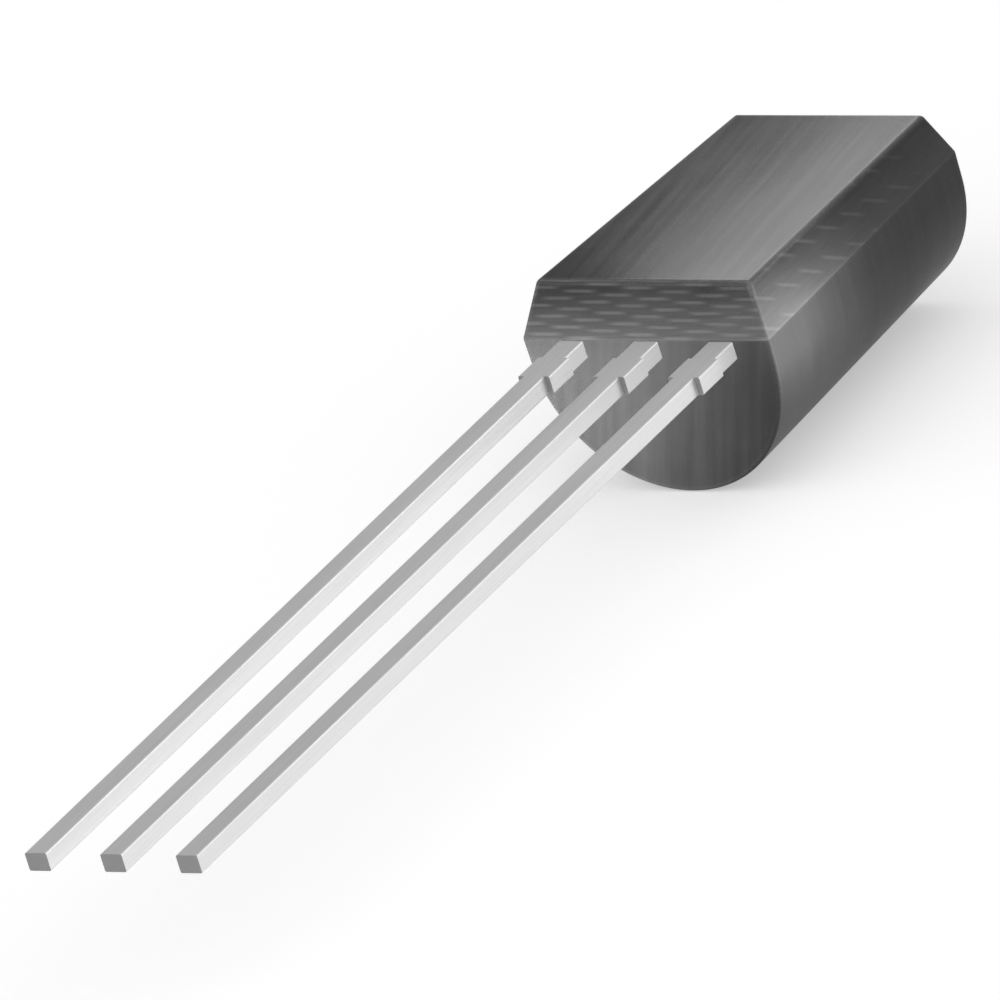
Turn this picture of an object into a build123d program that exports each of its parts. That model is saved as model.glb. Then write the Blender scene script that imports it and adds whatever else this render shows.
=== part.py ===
from build123d import *
import math
import os

# Axes: X across the leads, Y along the body away from the leads, Z out of the flat face.
# Origin: centre of the middle lead's section, where it leaves the body.
# All sizes are in millimetres and all angles in degrees.

# Leads outside the body: a root, the cut stub of the tie bar, and a long leg
lead_pitch = 1.27
lead_length = 14.5
lead_width = 0.36
lead_thickness = 0.28
lead_edge_radius = 0.025
root_width = 0.41
root_length = 0.48
stub_width = 0.53
stub_length = 0.54

# Moulded body: its parting plane lies just above the leads
parting_gap = 0.02
body_length = 5.5
side_cover = 0.81
back_taper = 0.16
wall_height = 0.34
wall_draft = 2.0
crown_height = 0.76
crown_fall = 0.15
crown_front_setback = 0.34
crown_rear_setback = 0.05
crown_front_inset = 0.28
crown_rear_inset = 0.34
flat_edge_radius = 0.06

# Lead frame inside the body: two bond pads, and the paddle with its locking hole
frame_gap = 0.35
pad_overhang = 0.15
emitter_pad_length = 1.6
emitter_pad_lead_in = 0.6
base_pad_width = 0.95
base_pad_length = 0.75
paddle_length = 2.2
paddle_width = 2.1
paddle_cover = 1.1
lock_hole_radius = 0.22
lock_hole_inset = 0.42

# Chip on the paddle, its bonding layer, and the two bond wires
die_size = 0.6
die_height = 0.2
die_front_inset = 0.45
attach_margin = 0.04
attach_height = 0.03
wire_radius = 0.02
wire_bend = 0.08
loop_height = 0.2
bond_inset = 0.15
stitch_inset = 0.3
stitch_rise = 0.3

lead_top = lead_thickness / 2
parting_z = lead_top + parting_gap
front_radius = lead_pitch + side_cover
rear_radius = front_radius - back_taper
draft = math.radians(wall_draft)

paddle_end = body_length - paddle_cover
paddle_start = paddle_end - paddle_length
paddle_right = lead_pitch + root_width / 2 + pad_overhang
paddle_left = paddle_right - paddle_width
paddle_centre = (paddle_left + paddle_right) / 2
emitter_pad_left = -lead_pitch - root_width / 2 - pad_overhang
emitter_pad_right = paddle_left - frame_gap
emitter_pad_start = paddle_start - emitter_pad_lead_in
base_pad_end = paddle_start - frame_gap
base_pad_start = base_pad_end - base_pad_length

die_y = paddle_start + die_front_inset + die_size / 2
die_bottom = lead_top + attach_height
die_top = die_bottom + die_height


def parting_half_width(radius):
    """Half the body's width at the parting plane, where the drafted walls end."""
    return radius * math.cos(draft) + math.tan(draft) * (wall_height + radius * math.sin(draft))


def back_section(y, radius):
    """Section below the parting plane: two drafted walls that run into the round back."""
    half_width = parting_half_width(radius)
    tangent_x = radius * math.cos(draft)
    tangent_depth = wall_height + radius * math.sin(draft)
    right_wall = Line((half_width, 0), (tangent_x, tangent_depth))
    arc = ThreePointArc((tangent_x, tangent_depth), (0, wall_height + radius), (-tangent_x, tangent_depth))
    left_wall = Line((-tangent_x, tangent_depth), (-half_width, 0))
    parting_edge = Line((-half_width, 0), (half_width, 0))
    plane = Plane(origin=(0, y, parting_z), x_dir=(1, 0, 0), z_dir=(0, 1, 0))
    return plane * make_face([right_wall, arc, left_wall, parting_edge])


def crown_outline(front_half_width, front_y, front_z, rear_half_width, rear_y, rear_z):
    """Four-cornered face, symmetric about the middle lead."""
    front_left = (-front_half_width, front_y, front_z)
    front_right = (front_half_width, front_y, front_z)
    rear_right = (rear_half_width, rear_y, rear_z)
    rear_left = (-rear_half_width, rear_y, rear_z)
    return make_face(Polyline(front_left, front_right, rear_right, rear_left, close=True))


def round_back():
    """Half of the body below the parting plane, which narrows a little away from the leads."""
    return loft([back_section(0, front_radius), back_section(body_length, rear_radius)], ruled=True)


def flat_crown():
    """Half of the body above the parting plane: four inclined faces that end in the flat face."""
    front_half_width = parting_half_width(front_radius)
    rear_half_width = parting_half_width(rear_radius)
    parting_outline = crown_outline(
        front_half_width,
        0,
        parting_z,
        rear_half_width,
        body_length,
        parting_z,
    )
    flat_outline = crown_outline(
        front_half_width - crown_front_inset,
        crown_front_setback,
        parting_z + crown_height,
        rear_half_width - crown_rear_inset,
        body_length - crown_rear_setback,
        parting_z + crown_height - crown_fall,
    )
    crown = loft([parting_outline, flat_outline], ruled=True)
    flat_face = crown.faces().sort_by(Axis.Z).last
    return fillet(flat_face.edges(), flat_edge_radius)


def rod(x, width, y_from, y_to):
    """Stretch of lead with rounded long edges."""
    plane = Plane(origin=(x, y_from, 0), x_dir=(1, 0, 0), z_dir=(0, 1, 0))
    return extrude(plane * RectangleRounded(width, lead_thickness, lead_edge_radius), y_to - y_from)


def plate(x_left, x_right, y_from, y_to):
    """Flat area of the lead frame."""
    centre = Pos((x_left + x_right) / 2, (y_from + y_to) / 2, 0)
    return centre * Box(x_right - x_left, y_to - y_from, lead_thickness)


def lead(x, inner_end):
    """One lead, from its cut tip to where it meets its pad inside the body."""
    stub_end = -root_length - stub_length
    leg = rod(x, lead_width, -lead_length, stub_end)
    stub = rod(x, stub_width, stub_end, -root_length)
    root = rod(x, root_width, -root_length, inner_end)
    return leg + stub + root


def emitter_lead():
    """Left lead and its bond pad beside the paddle."""
    pad_end = emitter_pad_start + emitter_pad_length
    pad = plate(emitter_pad_left, emitter_pad_right, emitter_pad_start, pad_end)
    return lead(-lead_pitch, emitter_pad_start) + pad


def base_lead():
    """Middle lead and its bond pad in front of the paddle."""
    pad = plate(-base_pad_width / 2, base_pad_width / 2, base_pad_start, base_pad_end)
    return lead(0, base_pad_start) + pad


def collector_lead():
    """Right lead and the paddle that carries the chip, with a hole that locks it in the body."""
    paddle = plate(paddle_left, paddle_right, paddle_start, paddle_end)
    hole = Pos(paddle_centre, paddle_end - lock_hole_inset, 0) * Cylinder(lock_hole_radius, lead_thickness)
    return lead(lead_pitch, paddle_start) + paddle - hole


def block_at_chip(z_bottom, size, height):
    """Square block on the chip's own centre line."""
    return Pos(paddle_centre, die_y, z_bottom + height / 2) * Box(size, size, height)


def bond_wire(start, end):
    """Wire that rises from the chip, crosses over, and comes down on a pad."""
    sideways = Vector(end.X - start.X, end.Y - start.Y, 0).normalized() * wire_bend
    crest = start + Vector(0, 0, loop_height)
    shoulder = end + Vector(0, 0, stitch_rise)
    drop = Vector(0, 0, wire_bend)
    path = Polyline(start, crest - drop, crest + sideways, shoulder - sideways, shoulder - drop, end)
    section = Plane(origin=start, z_dir=(0, 0, 1)) * Circle(wire_radius)
    return sweep(section, path=path, transition=Transition.RIGHT)


def emitter_bond_wire():
    """Wire from the chip's left side to the middle of the emitter's pad."""
    bond = Vector(paddle_centre - die_size / 2 + bond_inset, die_y, die_top)
    stitch = Vector((emitter_pad_left + emitter_pad_right) / 2, die_y - stitch_inset, lead_top)
    return bond_wire(bond, stitch)


def base_bond_wire():
    """Wire from the chip's front side to the base's pad."""
    bond = Vector(paddle_centre, die_y - die_size / 2 + bond_inset, die_top)
    stitch = Vector(0, base_pad_end - stitch_inset, lead_top)
    return bond_wire(bond, stitch)


inner_and_leads = {
    "emitter_lead": emitter_lead(),
    "base_lead": base_lead(),
    "collector_lead": collector_lead(),
    "silicon_die": block_at_chip(die_bottom, die_size, die_height),
    "die_attach": block_at_chip(lead_top, die_size + 2 * attach_margin, attach_height),
    "emitter_bond_wire": emitter_bond_wire(),
    "base_bond_wire": base_bond_wire(),
}
moulded_body = round_back() + flat_crown()
for piece in inner_and_leads.values():
    moulded_body = moulded_body - piece

os.makedirs("parts", exist_ok=True)
export_step(moulded_body, "parts/moulded_body.step")
for name, piece in inner_and_leads.items():
    export_step(piece, f"parts/{name}.step")
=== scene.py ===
import bmesh
import bpy
import math
from mathutils import Matrix, Vector


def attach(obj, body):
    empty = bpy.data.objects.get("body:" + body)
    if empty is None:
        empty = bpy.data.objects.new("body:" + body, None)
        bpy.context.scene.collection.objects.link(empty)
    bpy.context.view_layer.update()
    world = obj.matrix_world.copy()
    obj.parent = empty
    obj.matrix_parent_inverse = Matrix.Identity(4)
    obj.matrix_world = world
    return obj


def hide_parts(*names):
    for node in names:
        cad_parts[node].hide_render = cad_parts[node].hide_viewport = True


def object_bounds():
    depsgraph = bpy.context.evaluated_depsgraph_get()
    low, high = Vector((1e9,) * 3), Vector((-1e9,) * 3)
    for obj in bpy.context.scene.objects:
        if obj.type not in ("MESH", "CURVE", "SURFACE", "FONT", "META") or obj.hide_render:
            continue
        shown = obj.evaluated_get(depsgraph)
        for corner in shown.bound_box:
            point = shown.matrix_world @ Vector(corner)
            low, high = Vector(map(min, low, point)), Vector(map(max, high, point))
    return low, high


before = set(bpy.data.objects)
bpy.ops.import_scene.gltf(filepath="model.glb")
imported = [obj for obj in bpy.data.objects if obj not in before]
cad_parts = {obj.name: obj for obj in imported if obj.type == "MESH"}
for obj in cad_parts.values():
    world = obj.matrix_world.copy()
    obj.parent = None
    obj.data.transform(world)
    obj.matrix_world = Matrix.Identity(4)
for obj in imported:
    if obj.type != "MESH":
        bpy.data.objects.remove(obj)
cad_low, cad_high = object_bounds()

# Axes: X across the leads, Y along the body away from the leads, Z out of the flat face.
# Sizes and places are in millimetres, and MM turns them into metres.
MM = 0.001

LEADS = ("emitter_lead", "base_lead", "collector_lead")

# Moulded body. Its front radius is 0.005 under the solid's, so that the shell stays inside the solids' box.
PARTING_Z = 0.16
BODY_LENGTH = 5.5
FRONT_RADIUS = 2.075
REAR_RADIUS = 1.92
WALL_HEIGHT = 0.34
WALL_DRAFT = math.radians(2)
CROWN_HEIGHT = 0.76
CROWN_FALL = 0.15
CROWN_FRONT_SETBACK = 0.34
CROWN_REAR_SETBACK = 0.05
CROWN_FRONT_INSET = 0.28
CROWN_REAR_INSET = 0.34
FLAT_FRONT_Z = PARTING_Z + CROWN_HEIGHT
FLAT_REAR_Z = FLAT_FRONT_Z - CROWN_FALL
ARC_STEPS = 72

# Edge radii left by the mould
FLAT_EDGE = 0.055
END_EDGE = 0.05
CORNER_EDGE = 0.045
PARTING_EDGE = 0.012
WIDEST_EDGE = FLAT_EDGE
EDGE_SEGMENTS = 4

# Nearly all values of a noise lie within this span. The size of a noise is given across, along and up.
NOISE_SPAN = (0.3, 0.7)

# Moulding compound: a tone of 0 is its darkest grey and 1 its palest. Depths are those of the relief.
COMPOUND_GREYS = (0.018, 0.14)
COMPOUND_ROUGHNESS = (0.36, 0.44)
COMPOUND_GRAIN = {"size": (0.03, 0.03, 0.03), "detail": 4.0, "roughness": 0.7}
COMPOUND_CLOUD = {"size": (1.6, 1.6, 1.6), "detail": 3.0, "roughness": 0.55}
GRAIN_TONES = (-0.03, 0.03)
CLOUD_TONES = (0.08, 0.16)
GRAIN_DEPTH = 0.003
STREAK_DEPTH = 0.003
DASH_DEPTH = 0.001

# Streaks: their noise, which is turned about each axis, and how much they darken and lighten the face
FLAT_STREAKS = {
    "noise": {"size": (0.14, 5.0, 0.14), "turn": (0, 0, math.radians(7.8)), "detail": 1.5, "roughness": 0.5},
    "tones": (-0.08, 0.08),
}
SLOPE_STREAKS = {
    "noise": {"size": (0.6, 0.6, 0.05), "detail": 1.5, "roughness": 0.5},
    "tones": (-0.03, 0.03),
}
END_STREAKS = {
    "noise": {"size": (0.16, 1.0, 4.0), "turn": (0, math.radians(18.5), 0), "detail": 1.5, "roughness": 0.5},
    "tones": (-0.045, 0.045),
}
BACK_STREAKS = {
    "noise": {"size": (3.0, 0.16, 3.0), "detail": 1.5, "roughness": 0.5},
    "tones": (-0.025, 0.025),
}

# Rows of short dashes that the mould leaves on the inclined faces. Run is the direction along a row, and
# rise the one across the rows. Pitch is from row to row, period from dash to dash, and stagger how far each
# row is shifted against the last. Tone is how much paler a dash is, and last_y where the dashes fade out
# along the body. The front ones are on the inclined faces at both ends, so theirs lies past the body.
FRONT_DASHES = {
    "run": (1, 0, 0),
    "rise": (0, 0.41, 0.91),
    "pitch": 0.05,
    "period": 1.62,
    "stagger": -0.624,
    "length": 0.49,
    "width": 0.05,
    "tone": 0.28,
    "last_y": 9.0,
}
SIDE_DASHES = {
    "run": (0, 0.857, -0.516),
    "rise": (0, 0.516, 0.857),
    "pitch": 0.21,
    "period": 1.06,
    "stagger": 0.545,
    "length": 0.45,
    "width": 0.05,
    "tone": 0.2,
    "last_y": 4.4,
}
LEFT_DASHES = {
    "run": (0, 1, 0),
    "rise": (0.35, 0, 0.94),
    "pitch": 0.1,
    "period": 1.62,
    "stagger": -0.624,
    "length": 0.49,
    "width": 0.05,
    "tone": 0.2,
    "last_y": 4.0,
}

# A dash goes from nothing to its full tone between these shares of its length and of its width, both
# measured from its middle. The fade is half the length along the body in which the dashes fade out.
DASH_ENDS = (0.65, 0.3)
DASH_SIDES = (0.7, 0.2)
DASH_FADE = 0.4

# Painted shading on the inclined faces: how much paler they are, at the parting line and at the height of the
# flat face's front
SLOPE_PAINTED_SHADE_TONES = (0.24, -0.1)

# Paler edges, part wear and part painted highlight, brightest along the flat face's edges: how much paler
# they are, up to the low height and from the flat face's rear upwards. An edge is where the surface turns
# within the width, from none to full wear between the two cosines of the turn. The grain breaks the wear up.
EDGE_WEAR_AND_HIGHLIGHT_WIDTH = 0.1
EDGE_WEAR_AND_HIGHLIGHT_COSINES = (0.998, 0.96)
EDGE_WEAR_AND_HIGHLIGHT_SAMPLES = 4
WEAR_AND_HIGHLIGHT_LOW_Z = 0.6
WEAR_AND_HIGHLIGHT_TONES = (0.25, 0.9)
WEAR_AND_HIGHLIGHT_GRAIN_SPAN = (0.35, 0.6)
WEAR_AND_HIGHLIGHT_GRAIN_SHARES = (0.6, 1.0)

# Each kind of face of the moulding, in the order of its material slots: name, streaks, gloss and dashes
CROWN_GLOSS = 0.33
END_GLOSS = 0.12
BACK_GLOSS = 0.15
FACES = (
    ("compound_flat", FLAT_STREAKS, CROWN_GLOSS, None),
    ("compound_front_slope", SLOPE_STREAKS, CROWN_GLOSS, FRONT_DASHES),
    ("compound_side_slope", SLOPE_STREAKS, CROWN_GLOSS, SIDE_DASHES),
    ("compound_left_slope", SLOPE_STREAKS, CROWN_GLOSS, LEFT_DASHES),
    ("compound_end", END_STREAKS, END_GLOSS, None),
    ("compound_back", BACK_STREAKS, BACK_GLOSS, None),
)
FLAT, FRONT_SLOPE, SIDE_SLOPE, LEFT_SLOPE, END, BACK = range(len(FACES))

# Tin plate on the leads, and a darker grey on every face of theirs that faces away from the body: partly bare
# metal at the tips, partly painted shade, as on the stubs' front shoulders
PLATE_GREYS = (0.64, 0.76)
SHEARED_AND_SHADE_GREYS = (0.36, 0.46)
LEAD_METALLIC = 0.4
LEAD_ROUGHNESS = (0.5, 0.6)
CUT_ROUGHNESS = (0.0, 0.1)
CUT_AND_SHADE_DIRECTION = (0, -1, 0)
CUT_AND_SHADE_COSINES = (0.8, 0.9)
LEAD_DRAWN = {"size": (0.025, 2.5, 0.025), "detail": 3.0, "roughness": 0.6}
LEAD_GRAIN = {"size": (0.02, 0.02, 0.02), "detail": 3.0, "roughness": 0.7}
LEAD_CLOUD = {"size": (0.5, 1.5, 0.5), "detail": 3.0, "roughness": 0.5}
DRAWN_TONES = (0.25, 0.75)
LEAD_GRAIN_TONES = (-0.15, 0.15)
LEAD_DEPTH = 0.002

# Pieces sealed in the body: their finishes, and which piece has which
SEALED_GRAIN = {"size": (0.02, 0.02, 0.02), "detail": 4.0, "roughness": 0.6}
SEALED_ROUGHNESS_SPREAD = 0.1
SEALED_DEPTH = 0.001
SEALED_FINISHES = {
    "silicon": {"dark": (0.12, 0.13, 0.16), "pale": (0.2, 0.21, 0.25), "roughness": 0.1, "metallic": 0.0},
    "die_bond": {"dark": (0.42, 0.42, 0.42), "pale": (0.58, 0.58, 0.58), "roughness": 0.4, "metallic": 0.0},
    "gold": {"dark": (0.85, 0.62, 0.26), "pale": (0.95, 0.74, 0.34), "roughness": 0.15, "metallic": 1.0},
}
SEALED_PIECES = {
    "silicon_die": "silicon",
    "die_attach": "die_bond",
    "emitter_bond_wire": "gold",
    "base_bond_wire": "gold",
}

# Floor: what it lacks of plain white in the studio light, it gives off towards the camera
FLOOR_HALF_SIZE = 3000
FLOOR_GAP = 0.002
FLOOR_COLOUR = 0.86
FLOOR_ROUGHNESS = 0.9
FLOOR_GLOW = 0.45

# Studio dome: a level is a brightness, where 1 is white. Each span holds two cosines of the angle to
# straight up, or to the middle of the dim part, between which the brightness changes.
DOME_LEVELS = (0.33, 0.9)
DOME_SPAN = (0.2, 0.8)
DIM_LEVEL = 0.2
DIM_DIRECTION = Vector((-0.576, 0.712, 0.401))
DIM_SPAN = (0.5, 0.95)
HORIZON_LEVEL = 1.0
HORIZON_SPAN = (0.002, 0.006)

# One far lamp for each lead, on the leads' right: they differ only in level
KEY_LAMP = {
    "centre": (210, 203, 36),
    "facing": (-210, -210, -36),
    "run": (0, 0, 1),
    "length": 200,
    "width": 200,
}
KEY_LEVELS = (4.9, 4.5, 4.05)

# Lamps close to the body, which shade its faces: run is the direction of the length
BODY_LAMPS = {
    "sheen_on_flat": {
        "centre": (-1.21, 7.3, 4.07),
        "facing": (0.81, 0, -0.59),
        "run": (0, 1, 0.08),
        "length": 9.5,
        "width": 3.0,
        "level": 4.75,
    },
    "card_at_end": {
        "centre": (-2.65, -1.8, -1.0),
        "facing": (0, 0.85, -0.53),
        "run": (1, 0, 0),
        "length": 4.9,
        "width": 2.0,
        "level": 12.5,
    },
    "card_at_end_left": {
        "centre": (-3.7, -1.9, -1.15),
        "facing": (0, 0.85, -0.53),
        "run": (1, 0, 0),
        "length": 1.2,
        "width": 1.8,
        "level": 10.0,
    },
    "card_at_front_slope": {
        "centre": (1.4, -1.6, 0.3),
        "facing": (0, 0.5, 0.87),
        "run": (1, 0, 0),
        "length": 5.4,
        "width": 0.6,
        "level": 9.5,
    },
    "strip_over_front_edge": {
        "centre": (-3.6, 0.6, 5.9),
        "facing": (0.576, -0.05, -0.81),
        "run": (1, 0, 0),
        "length": 6.0,
        "width": 1.2,
        "level": 3.5,
    },
    "card_at_side": {
        "centre": (2.9, 0.95, -0.15),
        "facing": (-1, 0, 0),
        "run": (0, 1, 0),
        "length": 2.5,
        "width": 2.5,
        "level": 4.4,
    },
}

# Camera: a long lens far away, because the photograph shows parallel lines as parallel
LENS = 1500
SENSOR = 36
CLIP_START = 10
CLIP_END = 10000
VIEW_AZIMUTH = math.radians(38.949)
VIEW_ELEVATION = math.radians(23.65)
VIEW_ROLL = math.radians(-17.431)
VIEW_DISTANCE = 579.67
VIEW_TARGET = Vector((-1.6661, -2.0542, -1.2563))


def half_width(radius):
    """Half the body's width at the parting plane, where the drafted walls end."""
    return radius * math.cos(WALL_DRAFT) + math.tan(WALL_DRAFT) * wall_depth(radius)


def wall_depth(radius):
    """Depth below the parting plane at which a drafted wall runs into the round back."""
    return WALL_HEIGHT + radius * math.sin(WALL_DRAFT)


def back_ring(y, radius):
    """Section below the parting plane, from its right corner round to its left corner."""
    ring = [(half_width(radius), y, PARTING_Z)]
    sweep = math.pi - 2 * WALL_DRAFT
    for step in range(ARC_STEPS + 1):
        angle = WALL_DRAFT + sweep * step / ARC_STEPS
        ring.append((radius * math.cos(angle), y, PARTING_Z - WALL_HEIGHT - radius * math.sin(angle)))
    ring.append((-half_width(radius), y, PARTING_Z))
    return ring


def crown_corners():
    """The flat face's corners: front left, front right, rear right, rear left."""
    front_x = half_width(FRONT_RADIUS) - CROWN_FRONT_INSET
    rear_x = half_width(REAR_RADIUS) - CROWN_REAR_INSET
    rear_y = BODY_LENGTH - CROWN_REAR_SETBACK
    return [
        (-front_x, CROWN_FRONT_SETBACK, FLAT_FRONT_Z),
        (front_x, CROWN_FRONT_SETBACK, FLAT_FRONT_Z),
        (rear_x, rear_y, FLAT_REAR_Z),
        (-rear_x, rear_y, FLAT_REAR_Z),
    ]


def moulded_shell():
    """The body's outside as one closed mesh, with its edges weighted for the mould radii."""
    mesh = bmesh.new()
    weight = mesh.edges.layers.float.new("bevel_weight_edge")
    front = [mesh.verts.new(Vector(p) * MM) for p in back_ring(0, FRONT_RADIUS)]
    rear = [mesh.verts.new(Vector(p) * MM) for p in back_ring(BODY_LENGTH, REAR_RADIUS)]
    flat = [mesh.verts.new(Vector(p) * MM) for p in crown_corners()]

    def face(corners, kind):
        made = mesh.faces.new(corners)
        made.material_index = kind
        made.smooth = True

    def soften(chain, radius):
        for start, end in zip(chain, chain[1:]):
            mesh.edges.get((start, end))[weight] = radius / WIDEST_EDGE

    for here, after, rear_here, rear_after in zip(front, front[1:], rear, rear[1:]):
        face((here, after, rear_after, rear_here), BACK)
    face(front[::-1], END)
    face(rear, BACK)
    face(flat, FLAT)
    face((front[-1], front[0], flat[1], flat[0]), FRONT_SLOPE)
    face((front[0], rear[0], flat[2], flat[1]), SIDE_SLOPE)
    face((rear[0], rear[-1], flat[3], flat[2]), FRONT_SLOPE)
    face((rear[-1], front[-1], flat[0], flat[3]), LEFT_SLOPE)
    soften(front, END_EDGE)
    soften(rear, END_EDGE)
    soften(flat + flat[:1], FLAT_EDGE)
    for low, high in ((front[-1], flat[0]), (front[0], flat[1]), (rear[0], flat[2]), (rear[-1], flat[3])):
        soften((low, high), CORNER_EDGE)
    soften((front[-1], front[0], rear[0], rear[-1], front[-1]), PARTING_EDGE)
    bmesh.ops.recalc_face_normals(mesh, faces=mesh.faces)
    data = bpy.data.meshes.new("moulded_shell")
    mesh.to_mesh(data)
    mesh.free()
    return data


def linked(name, data):
    """New object in the scene."""
    made = bpy.data.objects.new(name, data)
    bpy.context.scene.collection.objects.link(made)
    return made


def moulded_shell_piece():
    """The shell as an object, with a bevel that gives its edges the mould radii."""
    shell = linked("moulded_shell", moulded_shell())
    rounding = shell.modifiers.new("mould_radii", "BEVEL")
    rounding.limit_method = "WEIGHT"
    rounding.offset_type = "OFFSET"
    rounding.width = WIDEST_EDGE * MM
    rounding.segments = EDGE_SEGMENTS
    rounding.harden_normals = True
    return shell


# Sockets of a mix of numbers and of a mix of colours: first input, second input and output
MIX_SOCKETS = {"FLOAT": (2, 3, 0), "RGBA": (6, 7, 2)}


class Nodes:
    """Short calls that add and join the nodes of a material or of the world."""

    def __init__(self, tree, place):
        self.tree = tree
        self.place = self.add("ShaderNodeTexCoord").outputs[place]

    def add(self, kind):
        return self.tree.nodes.new(kind)

    def feed(self, socket, value):
        """Join another node's output to the socket, or set the socket itself to a fixed value."""
        if isinstance(value, bpy.types.NodeSocket):
            self.tree.links.new(value, socket)
        else:
            socket.default_value = value

    def math(self, operation, first, second=0.0):
        made = self.add("ShaderNodeMath")
        made.operation = operation
        self.feed(made.inputs[0], first)
        self.feed(made.inputs[1], second)
        return made.outputs[0]

    def dot(self, first, second):
        made = self.add("ShaderNodeVectorMath")
        made.operation = "DOT_PRODUCT"
        self.feed(made.inputs[0], first)
        self.feed(made.inputs[1], second)
        return made.outputs["Value"]

    def ramp(self, value, span, onto=(0.0, 1.0), shape="LINEAR"):
        """Value carried from one span over onto another, and held at its ends."""
        made = self.add("ShaderNodeMapRange")
        made.interpolation_type = shape
        for name, number in zip(("From Min", "From Max", "To Min", "To Max"), (*span, *onto)):
            made.inputs[name].default_value = number
        self.feed(made.inputs["Value"], value)
        return made.outputs[0]

    def mix(self, kind, share, first, second):
        """Number or colour that goes from the first to the second as the share goes from 0 to 1."""
        made = self.add("ShaderNodeMix")
        made.data_type = kind
        first_socket, second_socket, result = MIX_SOCKETS[kind]
        self.feed(made.inputs[0], share)
        self.feed(made.inputs[first_socket], first)
        self.feed(made.inputs[second_socket], second)
        return made.outputs[result]


class Surface(Nodes):
    """A Principled material, whose coordinates are those of the part."""

    def __init__(self, name):
        self.material = bpy.data.materials.new(name)
        self.material.use_nodes = True
        super().__init__(self.material.node_tree, "Object")
        self.principled = self.tree.nodes["Principled BSDF"]

    def noise(self, size, detail, roughness, turn=(0, 0, 0)):
        """Noise of this size in millimetres along each axis, turned about the axes."""
        place = self.add("ShaderNodeMapping")
        place.vector_type = "TEXTURE"
        self.feed(place.inputs["Vector"], self.place)
        place.inputs["Rotation"].default_value = turn
        place.inputs["Scale"].default_value = tuple(length * MM for length in size)
        made = self.add("ShaderNodeTexNoise")
        self.feed(made.inputs["Vector"], place.outputs[0])
        made.inputs["Scale"].default_value = 1.0
        made.inputs["Detail"].default_value = detail
        made.inputs["Roughness"].default_value = roughness
        return made.outputs[0]

    def tint(self, share, first, second):
        """Grey or colour that goes from the first to the second as the share goes from 0 to 1."""
        return self.mix("RGBA", share, first, second)

    def bump(self, height, depth, under=None):
        """Surface normal of a relief that is this many millimetres deep, over another relief."""
        made = self.add("ShaderNodeBump")
        self.feed(made.inputs["Height"], height)
        made.inputs["Strength"].default_value = 1.0
        made.inputs["Distance"].default_value = depth * MM
        if under is not None:
            self.feed(made.inputs["Normal"], under)
        return made.outputs[0]

    def along(self, direction):
        """How far the surface lies along a direction from the origin, in millimetres."""
        return self.dot(self.place, Vector(direction) / MM)

    def facing(self, direction, cosines):
        """1 where the surface faces a direction of the part's frame, 0 where it turns away."""
        normal = self.add("ShaderNodeTexCoord").outputs["Normal"]
        return self.ramp(self.dot(normal, direction), cosines)

    def edges(self, width):
        """1 along sharp outer edges, 0 on the faces."""
        rounded = self.add("ShaderNodeBevel")
        rounded.samples = EDGE_WEAR_AND_HIGHLIGHT_SAMPLES
        rounded.inputs["Radius"].default_value = width * MM
        normal = self.add("ShaderNodeNewGeometry").outputs["Normal"]
        return self.ramp(self.dot(rounded.outputs[0], normal), EDGE_WEAR_AND_HIGHLIGHT_COSINES)

    def dashes(self, rows):
        """1 on short dashes in staggered rows, 0 between them."""
        across = self.math("DIVIDE", self.along(rows["rise"]), rows["pitch"])
        offset = self.math("MULTIPLY", self.math("FLOOR", across), rows["stagger"])
        place = self.math("DIVIDE", self.math("SUBTRACT", self.along(rows["run"]), offset), rows["period"])
        length = rows["length"] / rows["period"]
        width = rows["width"] / rows["pitch"]
        lengthwise = self.ramp(self.from_middle(place), [length * share for share in DASH_ENDS])
        crosswise = self.ramp(self.from_middle(across), [width * share for share in DASH_SIDES])
        fade = (rows["last_y"] + DASH_FADE, rows["last_y"] - DASH_FADE)
        kept = self.ramp(self.along((0, 1, 0)), fade)
        return self.math("MULTIPLY", self.math("MULTIPLY", lengthwise, crosswise), kept)

    def from_middle(self, value):
        """How far a value lies from the middle of its own unit."""
        return self.math("ABSOLUTE", self.math("SUBTRACT", self.math("FRACT", value), 0.5))

    def finish(self, colour, roughness, normal, metallic=0.0):
        """The material, once its Principled shader has its inputs."""
        self.feed(self.principled.inputs["Base Color"], colour)
        self.feed(self.principled.inputs["Roughness"], roughness)
        self.feed(self.principled.inputs["Normal"], normal)
        self.principled.inputs["Metallic"].default_value = metallic
        return self.material


def grey(level):
    return (level, level, level, 1.0)


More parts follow.
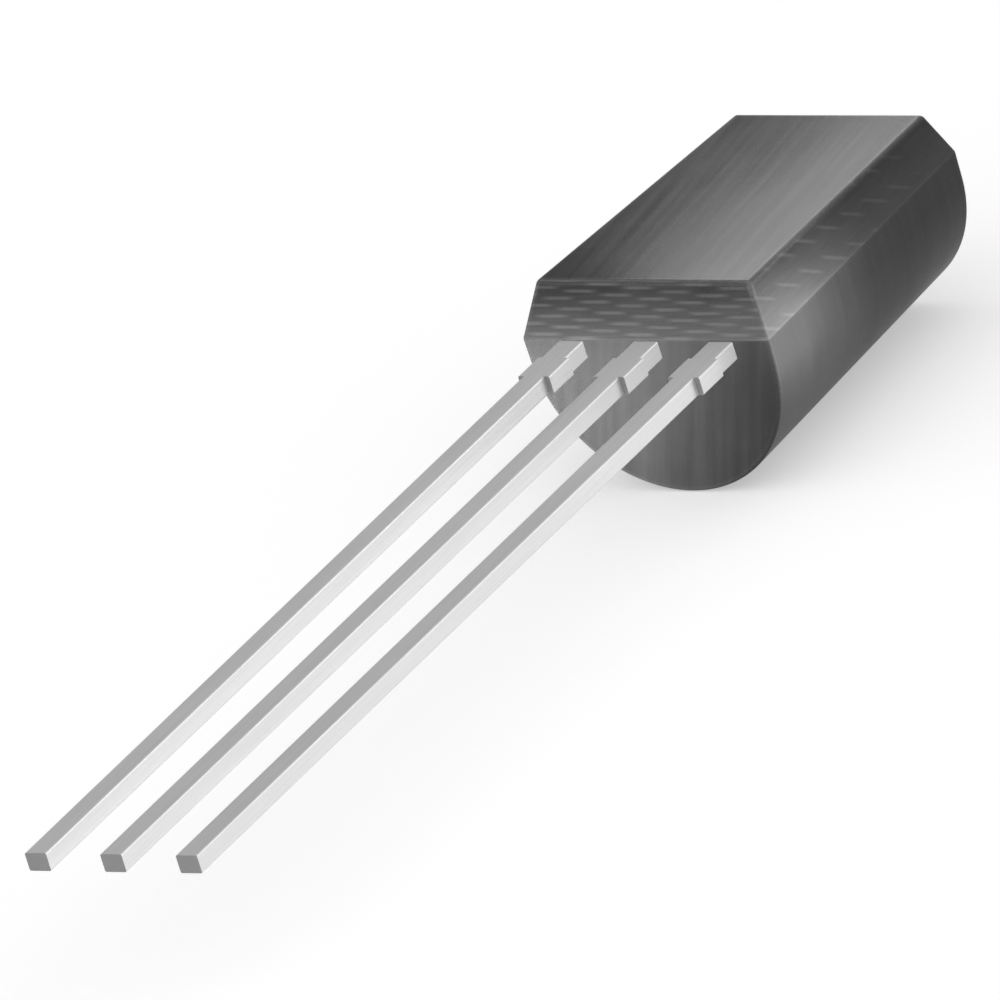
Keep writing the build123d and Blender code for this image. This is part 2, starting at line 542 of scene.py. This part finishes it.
def moulding_compound(name, streaks, gloss, dashes):
    """Dark filled epoxy: fine spark-eroded grain, faint streaks, the mould's dashes, paler edges that are
    part wear and part painted highlight, and painted shading on the inclined faces.
    """
    s = Surface(name)
    grain = s.noise(**COMPOUND_GRAIN)
    cloud = s.noise(**COMPOUND_CLOUD)
    streak = s.noise(**streaks["noise"])
    tone = s.math("ADD", s.ramp(grain, NOISE_SPAN, GRAIN_TONES), s.ramp(streak, NOISE_SPAN, streaks["tones"]))
    tone = s.math("ADD", tone, s.ramp(cloud, NOISE_SPAN, CLOUD_TONES))
    normal = s.bump(grain, GRAIN_DEPTH)
    normal = s.bump(streak, STREAK_DEPTH, under=normal)
    height = s.along((0, 0, 1))
    if dashes is not None:
        raised = s.dashes(dashes)
        tone = s.math("ADD", tone, s.math("MULTIPLY", raised, dashes["tone"]))
        # Painted shading: the inclined faces are paler at the parting line and darker towards the flat face
        tone = s.math("ADD", tone, s.ramp(height, (PARTING_Z, FLAT_FRONT_Z), SLOPE_PAINTED_SHADE_TONES))
        normal = s.bump(raised, DASH_DEPTH, under=normal)
    # Paler edges, more so towards the flat face: part wear, part painted highlight along the flat face's
    # edges
    edge_wear_and_highlight = s.math("MULTIPLY", s.edges(EDGE_WEAR_AND_HIGHLIGHT_WIDTH), s.ramp(grain, WEAR_AND_HIGHLIGHT_GRAIN_SPAN, WEAR_AND_HIGHLIGHT_GRAIN_SHARES))
    paler = s.ramp(height, (WEAR_AND_HIGHLIGHT_LOW_Z, FLAT_REAR_Z), WEAR_AND_HIGHLIGHT_TONES)
    tone = s.math("ADD", tone, s.math("MULTIPLY", edge_wear_and_highlight, paler))
    colour = s.tint(tone, *map(grey, COMPOUND_GREYS))
    roughness = s.ramp(cloud, NOISE_SPAN, COMPOUND_ROUGHNESS)
    s.principled.inputs["Specular IOR Level"].default_value = gloss
    return s.finish(colour, roughness, normal)


def tinned_lead():
    """Matt tin plate over a stamped lead, drawn along its length, and a darker grey on the faces that face
    away from the body: partly bare metal at the tips, partly painted shade.
    """
    s = Surface("tinned_lead")
    drawn = s.noise(**LEAD_DRAWN)
    grain = s.noise(**LEAD_GRAIN)
    cloud = s.noise(**LEAD_CLOUD)
    # Faces that face away from the body get a darker grey: bare metal at the tips, and painted shade on the
    # rest of them
    cut_and_shade = s.facing(CUT_AND_SHADE_DIRECTION, CUT_AND_SHADE_COSINES)
    tone = s.math("ADD", s.ramp(drawn, NOISE_SPAN, DRAWN_TONES), s.ramp(grain, NOISE_SPAN, LEAD_GRAIN_TONES))
    plate = s.tint(tone, *map(grey, PLATE_GREYS))
    sheared_and_shade = s.tint(s.ramp(grain, NOISE_SPAN), *map(grey, SHEARED_AND_SHADE_GREYS))
    rougher = s.ramp(cut_and_shade, (0.0, 1.0), CUT_ROUGHNESS)
    roughness = s.math("ADD", s.ramp(cloud, NOISE_SPAN, LEAD_ROUGHNESS), rougher)
    normal = s.bump(grain, LEAD_DEPTH)
    normal = s.bump(drawn, LEAD_DEPTH, under=normal)
    return s.finish(s.tint(cut_and_shade, plate, sheared_and_shade), roughness, normal, LEAD_METALLIC)


def sealed_finish(name, dark, pale, roughness, metallic):
    """Plain grained finish of a piece that is sealed inside the body."""
    s = Surface(name)
    grain = s.noise(**SEALED_GRAIN)
    colour = s.tint(s.ramp(grain, NOISE_SPAN), (*dark, 1), (*pale, 1))
    uneven = s.ramp(grain, NOISE_SPAN, (roughness, roughness + SEALED_ROUGHNESS_SPREAD))
    return s.finish(colour, uneven, s.bump(grain, SEALED_DEPTH), metallic)


def repaint(node, material):
    """Give a solid another material, and leave its shape and place."""
    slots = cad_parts[node].data.materials
    slots.clear()
    slots.append(material)


def floor_piece():
    """White floor under the part, which keeps the part's shadow."""
    half = FLOOR_HALF_SIZE * MM
    z = cad_low.z - FLOOR_GAP * MM
    data = bpy.data.meshes.new("floor")
    corners = [(-half, -half, z), (half, -half, z), (half, half, z), (-half, half, z)]
    data.from_pydata(corners, [], [(0, 1, 2, 3)])
    floor = linked("floor", data)
    s = Surface("floor")
    s.principled.inputs["Base Color"].default_value = grey(FLOOR_COLOUR)
    s.principled.inputs["Roughness"].default_value = FLOOR_ROUGHNESS
    s.principled.inputs["Specular IOR Level"].default_value = 0.0
    rays = s.add("ShaderNodeLightPath").outputs
    mirrored = s.math("MAXIMUM", rays["Is Glossy Ray"], rays["Is Transmission Ray"])
    seen = s.math("MAXIMUM", rays["Is Camera Ray"], mirrored)
    s.principled.inputs["Emission Color"].default_value = grey(1.0)
    s.feed(s.principled.inputs["Emission Strength"], s.math("MULTIPLY", seen, FLOOR_GLOW))
    data.materials.append(s.material)


def camera():
    """The photograph's view of the part."""
    direction = Vector((
        math.sin(VIEW_AZIMUTH) * math.cos(VIEW_ELEVATION),
        -math.cos(VIEW_AZIMUTH) * math.cos(VIEW_ELEVATION),
        math.sin(VIEW_ELEVATION),
    ))
    level = Vector((0, 0, 1)).cross(direction).normalized()
    upright = direction.cross(level)
    right = math.cos(VIEW_ROLL) * level + math.sin(VIEW_ROLL) * upright
    up = direction.cross(right)
    data = bpy.data.cameras.new("camera")
    data.lens = LENS
    data.sensor_width = SENSOR
    data.clip_start = CLIP_START * MM
    data.clip_end = CLIP_END * MM
    made = linked("camera", data)
    turn = Matrix((right, up, direction)).transposed()
    place = (VIEW_TARGET + VIEW_DISTANCE * direction) * MM
    made.matrix_world = Matrix.Translation(place) @ turn.to_4x4()
    bpy.context.scene.camera = made


def dome():
    """Soft studio dome: brighter overhead, dim low behind the part, and white below the horizon."""
    made = bpy.data.worlds.new("dome")
    made.use_nodes = True
    bpy.context.scene.world = made
    s = Nodes(made.node_tree, "Generated")

    def towards(axis, span, onto=(0.0, 1.0)):
        return s.ramp(s.dot(s.place, axis), span, onto, "SMOOTHSTEP")

    up = (0, 0, 1)
    level = towards(up, DOME_SPAN, DOME_LEVELS)
    level = s.mix("FLOAT", towards(DIM_DIRECTION, DIM_SPAN), level, DIM_LEVEL)
    level = s.mix("FLOAT", towards(up, HORIZON_SPAN), HORIZON_LEVEL, level)
    background = s.tree.nodes["Background"]
    s.feed(background.inputs["Strength"], level)
    background.inputs["Color"].default_value = grey(1.0)


def group_of(name, piece):
    """Collection that holds one piece and isn't part of the scene."""
    made = bpy.data.collections.new(name)
    made.objects.link(piece)
    return made


def softbox(name, piece, centre, facing, run, length, width, level):
    """Flat lamp of an even brightness, whose light only one piece receives and only that piece blocks."""
    data = bpy.data.lights.new(name, "AREA")
    data.shape = "RECTANGLE"
    data.size = length * MM
    data.size_y = width * MM
    data.energy = level * math.pi * data.size * data.size_y
    made = linked(name, data)
    made.visible_camera = False
    back = -Vector(facing).normalized()
    side = back.cross(Vector(run)).normalized()
    turn = Matrix((side.cross(back), side, back)).transposed()
    made.matrix_world = Matrix.Translation(Vector(centre) * MM) @ turn.to_4x4()
    made.light_linking.receiver_collection = group_of(name, piece)
    made.light_linking.blocker_collection = group_of(name + "_shade", piece)


def studio():
    """The far lamps on the leads, and the small ones close to the body."""
    for lead, level in zip(LEADS, KEY_LEVELS):
        softbox("key_on_" + lead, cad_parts[lead], level=level, **KEY_LAMP)
    for name, lamp in BODY_LAMPS.items():
        softbox(name, shell, **lamp)


shell = moulded_shell_piece()
for name, streaks, gloss, dashes in FACES:
    shell.data.materials.append(moulding_compound(name, streaks, gloss, dashes))
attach(shell, "root")
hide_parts("moulded_body")

tin = tinned_lead()
for lead in LEADS:
    repaint(lead, tin)
sealed = {name: sealed_finish(name, **look) for name, look in SEALED_FINISHES.items()}
for node, finish in SEALED_PIECES.items():
    repaint(node, sealed[finish])

floor_piece()
camera()
dome()
studio()
bpy.context.scene.view_settings.view_transform = "Standard"
